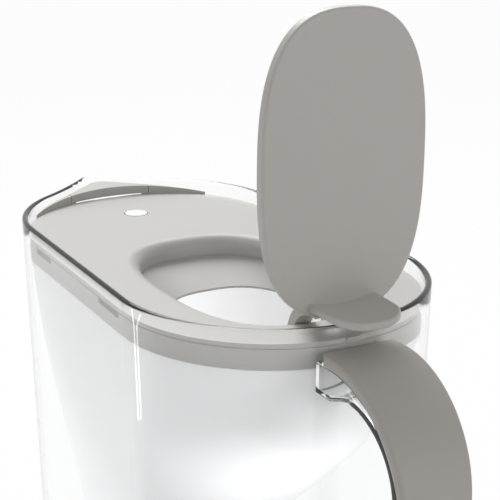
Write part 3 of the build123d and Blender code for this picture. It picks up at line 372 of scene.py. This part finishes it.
def jugWallMesh():
    # From the middle of the underside out, up the outer wall, over the rim, down and back to the middle.
    # Each rounded edge is a quarter circle: inset and level go by 1 - sin and 1 - cos of the turn.
    shape = jugShape
    wall, rim, edge = shape["wall"], shape["rim"], shape["rimEdge"]
    base, floor, inner, disc = shape["baseEdge"], shape["floor"], shape["floorEdge"], shape["discSteps"]
    turn = np.linspace(0, math.pi / 2, shape["turnSteps"])
    bySin, byCos = 1 - np.sin(turn), 1 - np.cos(turn)
    rise = np.linspace(base, rim - edge, shape["wallSteps"])[1:-1]
    fall = np.linspace(rim - edge, floor + inner, shape["wallSteps"])[1:-1]
    inset = np.concatenate([
        np.full(disc, base), base * bySin, 0 * rise, edge * byCos,
        wall - edge * bySin, wall + 0 * fall, wall + inner * byCos, np.full(disc, wall + inner),
    ])
    level = np.concatenate([
        np.zeros(disc), base * byCos, rise, rim - edge * bySin,
        rim - edge * byCos, fall, floor + inner * bySin, np.full(disc, floor),
    ])
    shrink = np.ones_like(level)
    shrink[:disc] = np.linspace(0, 1, disc, endpoint=False)
    shrink[-disc:] = shrink[:disc][::-1]
    return ringMesh("clearJugWall", jugRings(inset, level, shrink))


jugWall = newPiece("jug_body", "clearJugWall", jugWallMesh())
print("jug wall built", len(jugWall.data.polygons))

# Handle: a line down the side view, offset for the strap, the rails and the fingers.
handleShape = {
    "top": 0.2473, "foot": 0.049, "reach": 0.142, "bulge": 0.1472, "bulgeLevel": 0.15, "endX": 0.084,
    "cornerRadius": 0.0386, "lowerRadius": 0.125, "fingerCorner": 0.023, "rootRadius": 0.011,
    "rootThickness": 0.0111, "sideThickness": 0.0066, "footLevel": 0.063,
    "rootLift": 0.0062, "rootStart": 0.0993, "rootEnd": 0.1107, "rootLevel": 0.2, "rootCorner": 0.006,
    "rootHalf": 0.0142, "waistHalf": 0.0123, "footHalf": 0.0112, "waistLevel": 0.2087, "widthPast": 0.004,
    "strap": 0.0034, "strapEdge": 0.0014, "strapUnderEdge": 0.0004, "strapCrown": 0.00035, "strapGap": 0.0002,
    "rail": 0.002, "railInset": 0.0002, "railEdge": 0.0003, "web": 0.0014, "webCorner": 0.0007,
    "channelEdge": 0.0012, "channelSeat": 0.00005, "channelGap": 0.00002,
    "spareDepth": 0.0006, "leastRail": 0.0007, "greatestDepth": 0.014, "endSink": 0.004,
    "rows": 150, "fingerSteps": 1500, "evenedRows": 7,
}


def filletedLine(corners, radii, steps=28):
    # Straight runs whose corners are replaced by arcs that touch both. An arc's centre lies on the corner's
    # bisector, radius / sin(half angle) out, and its points are spherical blends of its two end radii.
    corners = [np.array(corner, float) for corner in corners]
    run = [corners[0]]
    for before, corner, after, radius in zip(corners, corners[1:], corners[2:], radii):
        backward, forward = before - corner, after - corner
        backward, forward = backward / np.linalg.norm(backward), forward / np.linalg.norm(forward)
        half = math.acos(np.clip(backward @ forward, -1, 1)) / 2
        middle = (backward + forward) / np.linalg.norm(backward + forward)
        center = corner + middle * radius / math.sin(half)
        start, end = corner + backward * radius / math.tan(half), corner + forward * radius / math.tan(half)
        first, last = start - center, end - center
        sweep = math.acos(np.clip(first @ last / radius**2, -1, 1))
        share = np.linspace(0, 1, steps)[:, None]
        arc = np.sin((1 - share) * sweep) * first + np.sin(share * sweep) * last
        run.extend(center + arc / math.sin(sweep))
    run.append(corners[-1])
    return np.array(run)


def evenly(line, count):
    # The same line with points at equal arc length.
    length = np.concatenate([[0], np.cumsum(np.linalg.norm(np.diff(line, axis=0), axis=1))])
    at = np.linspace(0, 1, count) * length[-1]
    return np.stack([np.interp(at, length, line[:, axis]) for axis in (0, 1)], -1)


def handleLines():
    # The strap's outer line, and the finger line below it, in x and z.
    shape = handleShape
    outer = filletedLine(
        [(shape["endX"], shape["top"]), (shape["reach"], shape["top"]),
         (shape["bulge"], shape["bulgeLevel"]), (shape["endX"], shape["foot"])],
        (shape["cornerRadius"], shape["lowerRadius"]))
    under, side = shape["top"] - shape["rootThickness"], shape["sideThickness"]
    lifted = under + shape["rootLift"]
    finger = filletedLine(
        [(shape["endX"], lifted), (shape["rootStart"], lifted), (shape["rootEnd"], under),
         (shape["reach"] - side, under), (shape["bulge"] - side, shape["bulgeLevel"]),
         (shape["endX"], shape["footLevel"])],
        (shape["rootRadius"], shape["rootRadius"], shape["fingerCorner"], shape["lowerRadius"]))
    return outer, finger


def handleHalfWidth(level):
    # Half of the width, straight between its values at the foot, the waist and the root.
    shape = handleShape
    levels = [shape["foot"] - shape["widthPast"], shape["waistLevel"], shape["top"] + shape["widthPast"]]
    return np.interp(level, levels, [shape["footHalf"], shape["waistHalf"], shape["rootHalf"]])


def lineNormals(line):
    # The line's unit steps (dx, dz) turned to (dz, -dx), which points into the handle.
    step = np.gradient(line, axis=0)
    step /= np.linalg.norm(step, axis=1, keepdims=True)
    return np.stack([step[:, 1], -step[:, 0]], -1)


def depthTo(other, line, inward):
    # How far along each inward normal the other line lies: a mean of its two points ahead that are least
    # off the normal, each weighed by one over how far off it is.
    behind, touching = 1.0, 1e-7
    away = other[None] - line[:, None]
    ahead = away[..., 0] * inward[:, None, 0] + away[..., 1] * inward[:, None, 1]
    side = np.abs(away[..., 1] * inward[:, None, 0] - away[..., 0] * inward[:, None, 1])
    near = np.argsort(np.where(ahead > 0, side, behind), axis=1)[:, :2]
    weight = 1 / (np.take_along_axis(side, near, 1) + touching)
    return (np.take_along_axis(ahead, near, 1) * weight).sum(1) / weight.sum(1)


def roundedLoops(depths, acrosses, radii, steps=5):
    # One closed outline a row, given its corners' depths and y. A corner is turned by the curve
    # corner + radius * (towards the one before * (1 - s)^2 + towards the one after * s^2).
    corners = np.stack([np.stack(depths, 1), np.stack(acrosses, 1)], -1)
    before, after = np.roll(corners, 1, 1) - corners, np.roll(corners, -1, 1) - corners
    toBefore, toAfter = (np.linalg.norm(run, axis=-1, keepdims=True) for run in (before, after))
    room = 0.48 * np.minimum(toBefore, toAfter)  # a corner takes less than half of either side
    radius = np.minimum(np.array(radii)[None, :, None], room)
    share = np.linspace(0, 1, steps)[:, None]
    curve = (before / toBefore)[:, :, None] * (1 - share)**2 + (after / toAfter)[:, :, None] * share**2
    return (corners[:, :, None] + radius[:, :, None] * curve).reshape(len(corners), -1, 2)


def strapSections(half):
    # Across the strap: a bar with rounded edges, whose outer face is crowned by 1 - (y / half)^2.
    shape = handleShape
    face, under = 0 * half, shape["strap"] + 0 * half
    edges = [shape["strapEdge"], shape["strapEdge"], shape["strapUnderEdge"], shape["strapUnderEdge"]]
    loops = roundedLoops([face, face, under, under], [-half, half, half, -half], edges)
    crown = shape["strapCrown"] * (1 - (loops[..., 1] / half[:, None])**2)
    loops[..., 0] -= crown * (loops[..., 0] < shape["strap"] / 2)
    return loops


def channelSections(half, total):
    # Across the clear channel: a web under the strap with a rail along each edge, down to the finger line.
    shape = handleShape
    under = np.maximum(total - shape["strap"], shape["web"] + shape["leastRail"])
    face, web = 0 * half, under - shape["web"]
    outer, inner = half - shape["railInset"], half - shape["rail"]
    rail, corner, edge = shape["railEdge"], shape["webCorner"], shape["channelEdge"]
    loops = roundedLoops(
        [face, face, web, web, face, face, under, under],
        [-outer, -inner, -inner, inner, inner, outer, outer, -outer],
        [rail, rail, corner, corner, rail, rail, edge, edge])
    loops[..., 0] += shape["strap"] + shape["channelSeat"]
    return loops


def handleRun():
    # The rows of the outer line that stand outside the jug, with their normals, depths and half widths.
    shape = handleShape
    outer, finger = handleLines()
    line = evenly(outer, shape["rows"])
    inward = lineNormals(line)
    total = depthTo(evenly(finger, shape["fingerSteps"]), line, inward)
    total = np.clip(total, shape["strap"] + shape["web"] + shape["spareDepth"], shape["greatestDepth"])
    evened = shape["evenedRows"]
    total = np.convolve(np.pad(total, evened // 2, mode="edge"), np.ones(evened) / evened, mode="valid")
    outside = jugShape["halfLength"] - (jugShape["rim"] - line[:, 1]) * jugShape["draft"]
    keep = line[:, 0] > outside - shape["endSink"]
    return line[keep], inward[keep], total[keep], handleHalfWidth(line[:, 1])[keep]


def sweptPoints(line, inward, section):
    # Section points (depth along the inward normal, y) carried along the line.
    points = np.empty((*section.shape[:2], 3))
    points[..., 0] = line[:, None, 0] + section[..., 0] * inward[:, None, 0]
    points[..., 1] = section[..., 1]
    points[..., 2] = line[:, None, 1] + section[..., 0] * inward[:, None, 1]
    return points


def trimToWall(points, gap, corner=0.0):
    # Points inside the jug's rear circle are moved out to it in x, so that the end follows the wall's
    # curve. With a corner, the root's two sides turn off the wall by corner * (1 - sqrt(1 - past^2)).
    shape = jugShape
    rearX = shape["halfLength"] - shape["rearRadius"]
    radius = shape["rearRadius"] + gap - (shape["rim"] - points[..., 2]) * shape["draft"]
    wallX = rearX + np.sqrt(np.clip(radius**2 - points[..., 1]**2, 1e-9, None))
    if corner:
        past = np.clip((np.abs(points[..., 1]) - handleShape["rootHalf"] + corner) / corner, 0, 1)
        wallX = wallX + corner * (1 - np.sqrt(1 - past**2)) * (points[..., 2] > handleShape["rootLevel"])
    points[..., 0] = np.maximum(points[..., 0], wallX)
    return points


def cappedMesh(name, points):
    # Swept rings whose two ends are closed by one face each.
    mesh = ringMesh(name, points)
    work = bmesh.new()
    work.from_mesh(mesh)
    bmesh.ops.remove_doubles(work, verts=work.verts, dist=0.0000005)
    bmesh.ops.holes_fill(work, edges=[edge for edge in work.edges if edge.is_boundary], sides=0)
    work.to_mesh(mesh)
    work.free()
    return mesh


line, inward, total, half = handleRun()
strapPoints = sweptPoints(line, inward, strapSections(half))
strapPoints = trimToWall(strapPoints, handleShape["strapGap"], handleShape["rootCorner"])
channelPoints = trimToWall(sweptPoints(line, inward, channelSections(half, total)), handleShape["channelGap"])
newPiece("handle_grip", "handleStrap", cappedMesh("handleStrap", strapPoints))
handleChannel = newPiece("jug_body", "clearHandleChannel", cappedMesh("clearHandleChannel", channelPoints))
for clear in (jugWall, handleChannel):
    clear.visible_shadow = False  # lamp light passes the clear walls
print("handle built", strapPoints.shape)

# Pieces that keep their solid's shape, with its facets smoothed.
pieceNames = {
    "hopper": "hopperFunnel", "cartridge_cup": "cartridgeCup", "cartridge_cap": "cartridgeCap",
    "cartridge_seal": "cartridgeSeal", "top_screen": "topScreen", "bottom_screen": "bottomScreen",
    "filter_granules": "filterGranules", "lid_cover": "lidCover", "lid_base": "lidBase",
    "light_housing": "lightHousing", "circuit_board": "circuitBoard", "button_dome": "buttonDome",
    "led": "lightDiode", "coin_cell": "coinCell", "battery_contact": "batteryContact",
    "battery_cover": "batteryCover", "fill_flap": "fillFlap", "pour_flap": "pourFlap",
    "light_button": "lightButton",
}


def smoothCopy(node, name):
    # The solid's triangles merged into one mesh, smooth within faces and sharp at its edges.
    mesh = frame["nodes"][node].data.copy()
    mesh.name = name
    mesh.materials.clear()
    softenMesh(mesh, mergeWithin=0.000002, creaseAngle=32.0, turnOutwards=False)
    if "custom_normal" in mesh.attributes:
        mesh.attributes.remove(mesh.attributes["custom_normal"])
    piece = standFor(node, name, mesh)
    weighted = piece.modifiers.new("weighted", "WEIGHTED_NORMAL")
    weighted.keep_sharp = True
    return piece


pieces = {node: smoothCopy(node, name) for node, name in pieceNames.items()}
pieces["hopper"].visible_shadow = False  # its milky wall passes lamp light on too
print("pieces from the solids", len(pieces))

# Floor and world: how bright they are where they are seen, and how far they light the pieces.
room = {"floorHalf": 6.0, "floorGlow": 0.96, "floorColor": (0.9, 0.9, 0.9), "worldLevel": 0.4}


def seenRays(make):
    # 1 for rays that show the background: from the camera, off gloss and through clear pieces.
    camera = make.node("LightPath", out="Is Camera Ray")
    gloss = make.node("LightPath", out="Is Glossy Ray")
    through = make.node("LightPath", out="Is Transmission Ray")
    return make.node("Math", {"operation": "MINIMUM"}, {0: camera + gloss + through, 1: 1.0})


def makeFloor():
    # A matte floor that takes the shadow, mixed with a glow for the rays that show the background.
    make = Finish("paleFloor")
    glow = make.node("Emission", {}, {"Color": white, "Strength": 1.0})
    matte = make.node("BsdfDiffuse", {}, {"Color": solid(room["floorColor"])})
    coat = make.coat(make.node("MixShader", {}, {0: seenRays(make) * room["floorGlow"], 1: matte, 2: glow}))
    half = room["floorHalf"]
    corners = [(-half, -half, 0), (half, -half, 0), (half, half, 0), (-half, half, 0)]
    mesh = bpy.data.meshes.new("floor")
    mesh.from_pydata(corners, [], [(0, 1, 2, 3)])
    mesh.materials.append(coat)
    floor = bpy.data.objects.new("floor", mesh)
    bpy.context.scene.collection.objects.link(floor)


def makeWorld():
    # Full white where it is seen, and the world's level where it only lights the pieces.
    world = bpy.data.worlds.new("paleRoom")
    bpy.context.scene.world = world
    make = Finish("paleRoom", world)
    strength = room["worldLevel"] + seenRays(make) * (1 - room["worldLevel"])
    make.coat(make.node("Background", {}, {"Color": white, "Strength": strength}), "World")


# Lamps: discs, and one upright strip whose highlight runs down the clear wall.
lamps = {
    "overheadLamp": {"spot": (-0.75, 0.25, 1.15), "target": (0, 0, 0.25), "size": 0.8, "power": 11.0},
    "leftLamp": {"spot": (-0.6, -1.2, 0.9), "target": (0, 0, 0.2), "size": 0.5, "power": 0.6},
    "rearFill": {"spot": (1.6, 0.5, 0.55), "target": (0, 0, 0.28), "size": 0.6, "power": 2.5},
    "stripLamp": {
        "spot": (-0.31, -0.34, 0.1), "target": (0.04, -0.055, 0.15),
        "size": 0.2, "power": 0.05, "width": 0.014,
    },
}


def makeLamp(name, spot, target, size, power, width=None):
    # A round lamp of the given size, or one of that height and the given width, turned to its target.
    data = bpy.data.lights.new(name, "AREA")
    data.shape, data.size, data.energy = "DISK" if width is None else "RECTANGLE", width or size, power
    if width is not None:
        data.size_y = size
    lamp = bpy.data.objects.new(name, data)
    lamp.location = spot
    lamp.rotation_mode = "QUATERNION"
    lamp.rotation_quaternion = (Vector(target) - Vector(spot)).to_track_quat("-Z", "Y")
    bpy.context.scene.collection.objects.link(lamp)


makeFloor()
makeWorld()
for name, lamp in lamps.items():
    makeLamp(name, **lamp)
print("stage, world and lamps set")
